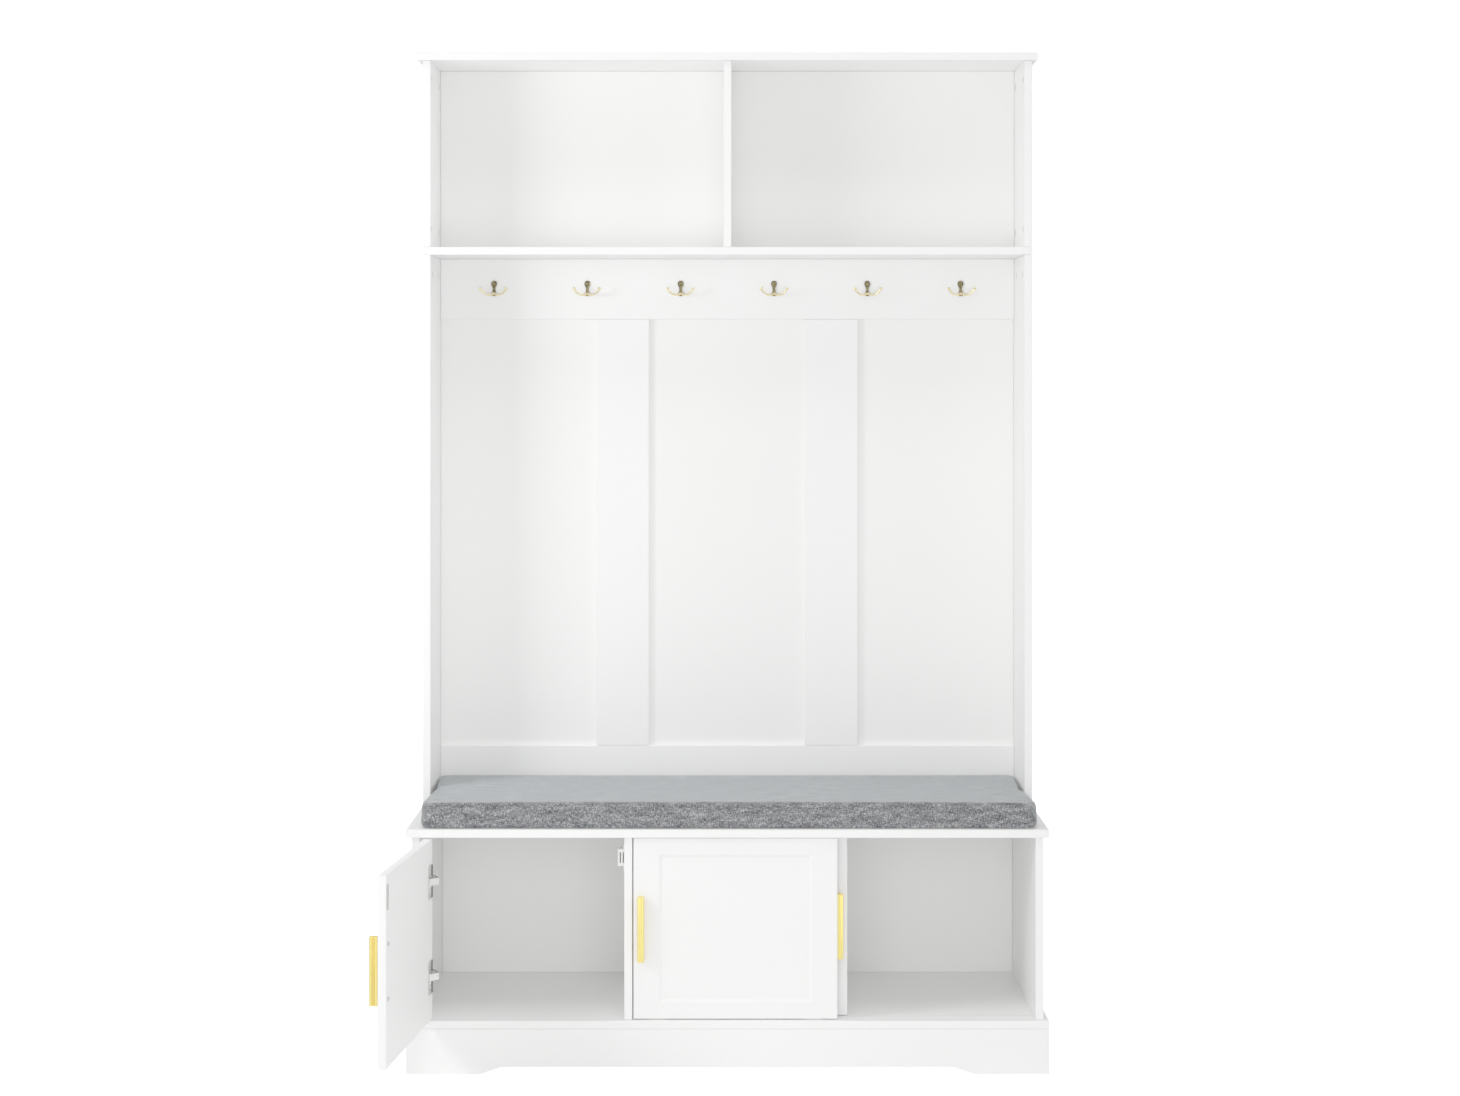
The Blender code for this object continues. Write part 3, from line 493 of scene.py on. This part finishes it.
def hook_meshes():
    """The three meshes of one hook, about its own plate centre: plate, prongs and screw."""
    right = hook_outline()
    bm = bmesh.new()
    outline = right[:-1] + [(0.0, right[-1][1])] + [(-a, z) for a, z in reversed(right[:-1])]
    rings = []
    for out, rise in ((0.0, 0.0), (0.0, 0.0016), (0.0004, 0.0024), (0.0010, 0.0028), (0.0017, 0.0025),
                      (0.0022, 0.0023)):
        ring = []
        for i, (a, z) in enumerate(outline):
            before, after = Vector(outline[i - 1]), Vector(outline[(i + 1) % len(outline)])
            tangent = (after - before).normalized()
            inward = Vector((-tangent.y, tangent.x))
            limit = min(out, abs(a) * 0.8) if abs(a) > 1e-6 else out
            ring.append(Vector((a + inward.x * limit, -rise, z + inward.y * limit)))
        rings.append(ring)
    loft(bm, rings)
    boss = [(0.0046, 0.0), (0.0046, 0.0022), (0.0040, 0.0033), (0.0028, 0.0042), (0.0012, 0.0047)]
    turned(bm, (0, -0.0012, -0.0100), (0, -1, 0), boss, 24)

    prongs = bmesh.new()
    route = [(0.0, -0.0025, -0.0092), (0.0035, -0.0078, -0.0120), (0.0090, -0.0142, -0.0134),
             (0.0160, -0.0202, -0.0118), (0.0218, -0.0242, -0.0076), (0.0250, -0.0262, -0.0022)]
    radii = [0.0030, 0.0025, 0.0021, 0.0019, 0.0020, 0.0024]
    for side in (-1, 1):
        points = [Vector((side * x, y, z)) for x, y, z in route]
        stations = [i / 6 for i in range(6 * (len(route) - 1) + 1)]
        line = [spline(points, t) for t in stations]
        width = [spline(radii, t) for t in stations]
        ahead = (line[-1] - line[-2]).normalized()
        tip = line[-1]
        for along, radius in ((0.0006, 0.0030), (0.0014, 0.0034), (0.0024, 0.0034), (0.0032, 0.0029),
                              (0.0037, 0.0018)):
            line.append(tip + ahead * along)
            width.append(radius)
        tube(prongs, line, width, sides=14)

    screw = bmesh.new()
    head = [(0.0033, 0.0), (0.0033, 0.0006), (0.0028, 0.0011), (0.0016, 0.0014)]
    turned(screw, (0, -0.0022, 0.0092), (0, -1, 0), head, 20)
    for turn in (0.5, 0.5 + math.pi / 2):
        slot = Matrix.Translation((0, -0.0037, 0.0092)) @ Matrix.Rotation(turn, 4, "Y")
        bmesh.ops.create_cube(screw, size=1.0, matrix=slot @ Matrix.Diagonal((0.0034, 0.0003, 0.0007, 1.0)))

    meshes = []
    for name, made, mat in (("hook_plate", bm, BRASS), ("hook_prongs", prongs, PRONG_GOLD),
                            ("hook_screw", screw, BRASS)):
        meshes.append(finished_mesh(name, made, mat))
    return meshes


def build_hooks():
    meshes = hook_meshes()
    for i in range(1, 7):
        low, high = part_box(f"coat_hook_{i}")
        place = Matrix.Translation(((low.x + high.x) / 2, high.y, high.z - HOOK_HALF_HEIGHT))
        for word, mesh in zip(("plate", "prongs", "screw"), meshes):
            copy = mesh.copy()
            copy.transform(place)
            mesh_object(f"hook_{i}_{word}", copy, "cabinet",
                        (f"coat_hook_{i}",) if word == "plate" else (), smooth_angle=45.0)


# ---------------------------------------------------------------- hinges, catch and cams

def rounded_outline(half_x, half_z, radius, steps=6):
    """Outline of a rounded rectangle, counter-clockwise."""
    points = []
    for cx, cz, start in ((1, 1, 0), (-1, 1, 90), (-1, -1, 180), (1, -1, 270)):
        for i in range(steps + 1):
            a = math.radians(start + 90 * i / steps)
            points.append((cx * (half_x - radius) + radius * math.cos(a),
                           cz * (half_z - radius) + radius * math.sin(a)))
    return points


def cup_piece(word):
    """Stamped hinge cup: rolled flange, round dish and two countersunk screws, on the shut door's inner face."""
    node = f"hinge_cup_{word}"
    low, high = shut_box(node)
    centre = (low + high) / 2
    face = high.y
    half_x, half_z = (high.x - low.x) / 2, (high.z - low.z) / 2
    count = 28
    outer = rounded_outline(half_x, half_z, 0.008, count // 4 - 1)

    def ring(radius, y):
        points = []
        for a, b in outer:
            angle = math.atan2(b, a)
            points.append(Vector((centre.x + radius * math.cos(angle), y, centre.z + radius * math.sin(angle))))
        return points

    def flange(inset, y):
        scale_x, scale_z = 1 - inset / half_x, 1 - inset / half_z
        return [Vector((centre.x + a * scale_x, y, centre.z + b * scale_z)) for a, b in outer]

    dish = 0.0150
    thick = 0.0012
    deep = face - 0.0118
    bm = bmesh.new()
    rings = [flange(0.0, face - thick), flange(0.0, face - 0.0004), flange(0.0005, face), flange(0.0040, face)]
    rings += [ring(dish + 0.0012, face), ring(dish + 0.0003, face - 0.0004), ring(dish, face - 0.0014),
              ring(dish - 0.0002, deep + 0.0020), ring(dish - 0.0012, deep + 0.0008), ring(dish - 0.004, deep)]
    loft(bm, rings, close_start=False)
    under = [flange(0.0, face - thick), ring(0.0172, face - thick), ring(0.0172, deep)]
    loft(bm, under, close_start=False)
    mesh_piece(f"cup_shell_{word}", bm, NICKEL, "left_door", (node,), OPEN_DOOR, smooth_angle=40.0)
    # Painted shade: a dark strip on each ear of the flange, above and below the dish, stands for the shade there.
    for side, mark in ((-1, "a"), (1, "b")):
        bm = bmesh.new()
        ends = sorted((centre.z + side * 0.0085, centre.z + side * (half_z - 0.0015)))
        block(bm, (low.x + 0.0010, face - 0.0002, ends[0]), (low.x + 0.0115, face + 0.0006, ends[1]))
        mesh_piece(f"cup_ear_painted_shade_{word}_{mark}", bm, SHADE_STEEL, "left_door", (), OPEN_DOOR, bevel=0.0002)
        spot = Vector((centre.x + 0.0085, face, centre.z + side * 0.0235))
        cross_screw(f"cup_screw_{word}_{mark}", spot, (0, 1, 0), 0.0036, 0.0010, ZINC, "left_door",
                    OPEN_DOOR)


def link_painted_shade(word):
    """A dark sheet of painted shade lying on the link, where the hinge arm's top is in shade: its outline is the
    link's own, so it clears whatever the link clears.

    It is built in the order the link's faces are stored, so every run makes the same mesh.
    """
    sunk, thick = 0.0001, 0.0006
    link = NODES[f"hinge_link_{word}"].data
    top = max(vertex.co.z for vertex in link.vertices)
    bm = bmesh.new()
    corners, walls = {}, {}

    def spot(point):
        return round(point.x, 6), round(point.y, 6)

    def corner(point, level):
        key = (*spot(point), level)
        if key not in corners:
            corners[key] = bm.verts.new((point.x, point.y, top - sunk + level * thick))
        return corners[key]

    for face in link.polygons:
        points = [link.vertices[i].co for i in face.vertices]
        if min(point.z for point in points) < top - 1e-5:
            continue
        bm.faces.new([corner(point, 1) for point in points])
        bm.faces.new([corner(point, 0) for point in reversed(points)])
        for a, b in zip(points, points[1:] + points[:1]):
            edge = frozenset((spot(a), spot(b)))
            if walls.pop(edge, None) is None:         # an edge met twice lies inside the outline
                walls[edge] = (a, b)
    for a, b in walls.values():
        bm.faces.new((corner(a, 0), corner(b, 0), corner(b, 1), corner(a, 1)))
    mesh_piece(f"link_painted_shade_{word}", bm, SHADE_STEEL, "hinge_links")


def build_hinges():
    for word in ("lower", "upper"):
        cup_piece(word)
        low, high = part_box(f"hinge_arm_{word}")
        middle = (low.z + high.z) / 2
        plate_low, plate_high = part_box(f"hinge_plate_{word}")
        link_painted_shade(word)
        for name, y in (("clamp", high.y - 0.012), ("depth", high.y - 0.030)):
            cross_screw(f"arm_{name}_screw_{word}", (low.x + 0.0073, y, middle), (1, 0, 0), 0.0032, 0.0012, ZINC,
                        "cabinet")
        for side, mark in ((-1, "a"), (1, "b")):
            spot = (plate_high.x, plate_low.y + 0.010, middle + side * 0.0150)
            cross_screw(f"plate_screw_{word}_{mark}", spot, (1, 0, 0), 0.0034, 0.0011, ZINC, "cabinet")


def build_catch():
    """Two steel poles showing in the catch's front, and the screw in each ear."""
    low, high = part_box("magnetic_catch")
    middle = (low.z + high.z) / 2
    for word, x in (("near", high.x - 0.0020), ("far", high.x - 0.0076)):
        bm = bmesh.new()
        block(bm, (x - 0.0012, low.y - 0.0002, middle - 0.010), (x + 0.0012, low.y + 0.004, middle + 0.010))
        mesh_piece(f"catch_pole_{word}", bm, POLE_STEEL, "cabinet", bevel=0.0001)
    for word, side in (("low", -1), ("high", 1)):
        spot = (high.x - 0.0020, (low.y + high.y) / 2, middle + side * 0.0195)
        cross_screw(f"catch_screw_{word}", spot, (-1, 0, 0), 0.0024, 0.0009, ZINC, "cabinet")


def cam_mesh():
    """Cam lock disc about the origin, facing +X, with a cross slot and a pointer notch."""
    radius, thick = 0.0071, 0.0090
    bm = bmesh.new()
    rings = []
    sides = 32
    for r, x in ((radius, -thick), (radius, -0.0004), (radius - 0.0004, 0.0), (0.0050, 0.0), (0.0046, -0.0005),
                 (0.0030, -0.0006), (0.0016, -0.0006)):
        ring = []
        for k in range(sides):
            s = 2 * math.pi * k / sides
            a, b = r * math.cos(s), r * math.sin(s)
            slot = r < 0.0048 and (abs(a) < 0.0008 or abs(b) < 0.0008)
            ring.append(Vector((x - (0.0022 if slot else 0.0), a, b)))
        rings.append(ring)
    loft(bm, rings)
    return finished_mesh("cam_disc", bm, DARK_ZINC)


def build_cams():
    """Cam locks sit in the blind holes of the side panels; the same setting out as the panels' own holes."""
    disc = cam_mesh()
    recess, from_end = 0.0012, 0.035
    shelf_low, shelf_high = (corner.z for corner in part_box("middle_shelf"))
    top_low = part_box("top_board")[0].z
    bench_floor, bench_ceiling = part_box("bench_bottom")[1].z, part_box("bench_top")[0].z
    groups = {
        "bench": ((BENCH_FRONT + 0.096, BENCH_FRONT + 0.321),
                  (bench_floor + from_end, bench_ceiling - from_end)),
        "coat": ((HUTCH_FRONT + 0.040, HUTCH_FRONT + 0.140), (shelf_low - 0.036,)),
        "cubby": ((HUTCH_FRONT + 0.024, HUTCH_FRONT + 0.158), (shelf_high + 0.036, top_low - 0.034)),
    }
    for group, (depths, heights) in groups.items():
        for side, word in ((-1, "left"), (1, "right")):
            for i, y in enumerate(depths):
                for j, z in enumerate(heights):
                    spin = Matrix.Rotation(0.3 + 0.9 * ((i * 5 + j * 3 + side) % 4), 4, "X")
                    face = Matrix.Rotation(math.pi if side > 0 else 0.0, 4, "Z")
                    place = Matrix.Translation((side * (SIDE_FACE + recess), y, z)) @ face @ spin
                    copy = disc.copy()
                    copy.transform(place)
                    mesh_object(f"cam_{group}_{word}_{i}{j}", copy, "cabinet")


# ---------------------------------------------------------------- cushion

def build_cushion():
    """Boxed seat cushion: a foam block in a linen cover, swollen by a short cloth simulation."""
    low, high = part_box("seat_cushion")
    inset = 0.0015
    half_x, depth, thick = (high.x - low.x) / 2 - inset, high.y - low.y - 2 * inset, high.z - low.z
    centre = (low + high) / 2
    plan_radius, edge_radius = 0.016, 0.007
    plan = rounded_outline(half_x, depth / 2, plan_radius, 5)
    bm = bmesh.new()
    rings = []
    for angle in (0, 30, 60, 90):
        a = math.radians(angle)
        rings.append((edge_radius * (1 - math.sin(a)), edge_radius * (1 - math.cos(a))))
    levels = [(inset_, z) for inset_, z in rings] + [(i, thick - z) for i, z in reversed(rings)]
    loops = []
    for shrink, z in levels:
        kx, ky = 1 - shrink / half_x, 1 - shrink / (depth / 2)
        loops.append([Vector((centre.x + a * kx, centre.y + b * ky, low.z + z)) for a, b in plan])
    loft(bm, loops)
    pad = bpy.data.objects.new("seat_pad", finished_mesh("seat_pad", bm, LINEN))
    bpy.context.scene.collection.objects.link(pad)
    remesh = pad.modifiers.new("even", "REMESH")
    remesh.mode, remesh.voxel_size = "VOXEL", 0.006
    bake_modifiers(pad)
    swell(pad)
    fit_between(pad, low, high)
    smooth = pad.modifiers.new("smooth", "SUBSURF")
    smooth.levels = smooth.render_levels = 1
    pad.data.shade_smooth()
    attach(pad, "cushion")
    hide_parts("seat_cushion")


def bake_modifiers(obj):
    """Replace an object's mesh by its evaluated one and drop its modifiers."""
    depsgraph = bpy.context.evaluated_depsgraph_get()
    made = bpy.data.meshes.new_from_object(obj.evaluated_get(depsgraph))
    obj.modifiers.clear()
    obj.data = made


def swell(pad):
    """Short cloth simulation with pressure inside and no gravity; part of its movement is kept.

    The bench holds the underside flat, so the movement fades out towards it. A boxed cushion keeps a flat top, so
    only the sideways movement is kept.
    """
    rest = [v.co.copy() for v in pad.data.vertices]
    share, frames = 0.4, 20
    underside = min(point.z for point in rest)
    free_height = 0.6 * (max(point.z for point in rest) - underside)
    scene = bpy.context.scene
    cloth = pad.modifiers.new("cloth", "CLOTH")
    settings = cloth.settings
    settings.quality = 5
    settings.mass = 0.4
    settings.tension_stiffness = settings.compression_stiffness = 40
    settings.shear_stiffness = 20
    settings.bending_stiffness = 2.5
    settings.use_pressure = True
    settings.uniform_pressure_force = 4.0
    settings.effector_weights.gravity = 0.0
    cloth.collision_settings.use_collision = False
    cloth.point_cache.frame_start, cloth.point_cache.frame_end = 1, frames
    for step in range(1, frames + 1):
        scene.frame_set(step)
    bake_modifiers(pad)
    for vertex, start in zip(pad.data.vertices, rest):
        hold = min((start.z - underside) / free_height, 1.0)
        moved = vertex.co - start
        vertex.co = start + Vector((moved.x, moved.y, 0.0)) * share * hold
    scene.frame_set(1)


def fit_between(pad, low, high):
    """Scale the swollen pad back to the space the cushion has: flat underneath, barely crowned on top.

    In front of the hutch nothing holds the cushion in, and its right end spreads a little.
    """
    bulge, crown, spread = 0.0007, 0.0035, 0.0055
    clearance, fade = 0.004, 0.05
    goal_low = Vector((low.x - bulge, low.y - bulge, low.z))
    goal_high = Vector((high.x + bulge, high.y + 0.0005, high.z + crown))
    points = [v.co for v in pad.data.vertices]
    now_low = Vector([min(p[i] for p in points) for i in range(3)])
    now_high = Vector([max(p[i] for p in points) for i in range(3)])
    for vertex in pad.data.vertices:
        for i in range(3):
            share = (vertex.co[i] - now_low[i]) / (now_high[i] - now_low[i])
            vertex.co[i] = goal_low[i] + share * (goal_high[i] - goal_low[i])
        ahead = min(max((HUTCH_FRONT - clearance - vertex.co.y) / fade, 0.0), 1.0)
        rightward = max(vertex.co.x / high.x, 0.0)
        vertex.co.x += spread * ahead * rightward ** 4


# ---------------------------------------------------------------- boards and other kept nodes

def dress_nodes():
    by_slot = {"white_paint": PAINT, "gold": GOLD, "antique_brass": BRASS, "nickel": NICKEL, "zinc_steel": ZINC,
               "nylon": NYLON, "white_plastic": PLASTIC, "grey_linen": LINEN}
    slots = {part["node"]: part["material_slot"] for part in frame["record"]["subparts"]}
    for name, obj in NODES.items():
        mat = BACK_PAINT if "back_panel" in name else by_slot[slots[name]]
        # The hinge arms take the lighter copy of the nickel: painted highlight.
        if name.startswith("hinge_arm"):
            mat = LIT_ARM_NICKEL
        obj.data.materials.clear()
        obj.data.materials.append(mat)
        if slots[name] in ("nickel", "white_plastic"):
            weld = obj.modifiers.new("weld", "WELD")
            weld.merge_threshold = 1e-6
            soften_edges(obj, 0.0003, 40)


# ---------------------------------------------------------------- studio

def area_light(name, place, target, size, power):
    data = bpy.data.lights.new(name, "AREA")
    data.shape, data.size, data.energy = "SQUARE", size, power
    obj = bpy.data.objects.new(name, data)
    obj.location = place
    obj.rotation_euler = (Vector(target) - Vector(place)).to_track_quat("-Z", "Y").to_euler()
    obj.visible_camera = False
    bpy.context.scene.collection.objects.link(obj)


def build_studio():
    """A white surround that shows brighter than it lights, four soft lights, and a floor that shows white."""
    world = bpy.data.worlds.new("studio")
    bpy.context.scene.world = world
    world.use_nodes = True
    tree = world.node_tree
    seen, lit = tree.nodes["Background"], tree.nodes.new("ShaderNodeBackground")
    for node, strength in ((seen, 1.05), (lit, 0.46)):
        node.inputs["Color"].default_value = (1.0, 1.0, 1.0, 1.0)
        node.inputs["Strength"].default_value = strength
    ray, either = tree.nodes.new("ShaderNodeLightPath"), tree.nodes.new("ShaderNodeMixShader")
    tree.links.new(ray.outputs["Is Camera Ray"], either.inputs[0])
    tree.links.new(lit.outputs[0], either.inputs[1])
    tree.links.new(seen.outputs[0], either.inputs[2])
    tree.links.new(either.outputs[0], tree.nodes["World Output"].inputs["Surface"])
    target = (0.0, 0.0, 0.95)
    area_light("key_left", (-1.83, -1.15, 1.5), target, 0.6, 14.0)
    area_light("side_right", (7.8, -1.5, 1.3), target, 3.6, 84.0)
    area_light("overhead", (0.0, -1.4, 4.4), target, 1.6, 30.0)
    area_light("front", (0.0, -3.2, 0.8), (0.0, 0.0, 0.3), 1.6, 19.0)

    bm = bmesh.new()
    bmesh.ops.create_grid(bm, x_segments=1, y_segments=1, size=30.0)
    mesh = bpy.data.meshes.new("floor")
    bm.to_mesh(mesh)
    bm.free()
    n = Nodes("pale_floor")
    cloud = n.noise(n.coords(), 0.8, 3.0)
    ray = n.add("ShaderNodeLightPath")
    n.set(Base_Color=n.ramp(cloud, [(0.3, (0.925, 0.925, 0.925)), (0.7, (0.94, 0.94, 0.94))]), Roughness=0.9,
          Specular_IOR_Level=0.1, Emission_Color=(1.0, 1.0, 1.0), Emission_Strength=ray.outputs["Is Camera Ray"])
    mesh.materials.append(n.mat)
    floor = bpy.data.objects.new("floor", mesh)
    floor.location.z = -0.0005
    bpy.context.scene.collection.objects.link(floor)


def build_camera():
    data = bpy.data.cameras.new("camera")
    data.sensor_width = SENSOR
    data.lens = FOCAL_PIXELS * SENSOR / PICTURE_WIDTH
    data.shift_x = (PICTURE_WIDTH / 2 - PRINCIPAL_POINT[0]) / PICTURE_WIDTH
    data.shift_y = (PRINCIPAL_POINT[1] - PICTURE_HEIGHT / 2) / PICTURE_WIDTH
    data.clip_end = 100.0
    camera = bpy.data.objects.new("camera", data)
    camera.location = CAMERA_PLACE
    camera.rotation_euler = (math.pi / 2, 0.0, 0.0)
    bpy.context.scene.collection.objects.link(camera)
    bpy.context.scene.camera = camera


build_camera()
build_studio()
dress_nodes()
build_handles()
build_hooks()
build_hinges()
build_catch()
build_cams()
build_cushion()
bpy.context.scene.view_settings.view_transform = "Standard"
bpy.context.scene.view_settings.gamma = 1.6
